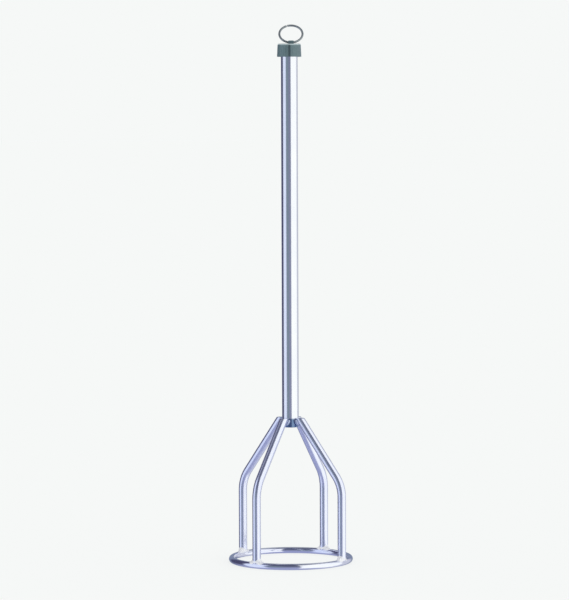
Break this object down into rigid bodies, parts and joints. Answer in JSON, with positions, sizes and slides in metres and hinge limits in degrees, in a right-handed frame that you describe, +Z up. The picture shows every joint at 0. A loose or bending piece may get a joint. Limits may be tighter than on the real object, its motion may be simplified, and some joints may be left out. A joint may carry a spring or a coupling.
{
  "type": "mortar mixing paddle",
  "caption": "Long bright-plated mixing paddle: a straight round bar with a wire basket of bent legs welded to a base ring, and a plastic end cap with a split hanging ring.",
  "frame": {"origin": "on the floor, at the centre of the base ring and on the axis of the bar", "axes": "+Z up along the bar towards its drive end, +X to the right and +Y to the rear; the hanging ring leans towards +Y"},
  "size_m": [0.12, 0.12, 0.5188],
  "materials": {
    "plated_shaft": "bright zinc plating over drawn round bar",
    "plated_rod": "bright zinc plating over drawn wire rod",
    "plated_weld": "bright zinc plating over rippled weld metal",
    "cap_plastic": "soft moulded plastic with a dull sheen",
    "ring_wire": "drawn steel wire, dull grey"
  },
  "bodies": {
    "paddle": {"shaft": "plated_shaft", "base_ring": "plated_rod", "leg_rear_right": "plated_rod", "leg_rear_left": "plated_rod", "leg_front_left": "plated_rod", "leg_front_right": "plated_rod", "weld_shaft_rear_right": "plated_weld", "weld_shaft_rear_left": "plated_weld", "weld_shaft_front_left": "plated_weld", "weld_shaft_front_right": "plated_weld", "weld_ring_rear_right": "plated_weld", "weld_ring_rear_left": "plated_weld", "weld_ring_front_left": "plated_weld", "weld_ring_front_right": "plated_weld", "ring_seam_weld": "plated_weld"},
    "cap": {"end_cap": "cap_plastic"},
    "ring": {"hanging_ring": "ring_wire"}
  },
  "joints": [
    {"name": "cap_pull", "type": "slide", "parent": "paddle", "child": "cap", "axis": [0, 0, 1], "range_m": [0, 0.02]},
    {"name": "ring_swing", "type": "hinge", "parent": "cap", "child": "ring", "pos_m": [0.0018, 0, 0.5012], "axis": [1, 0, 0], "range_deg": [-47, 131]}
  ]
}
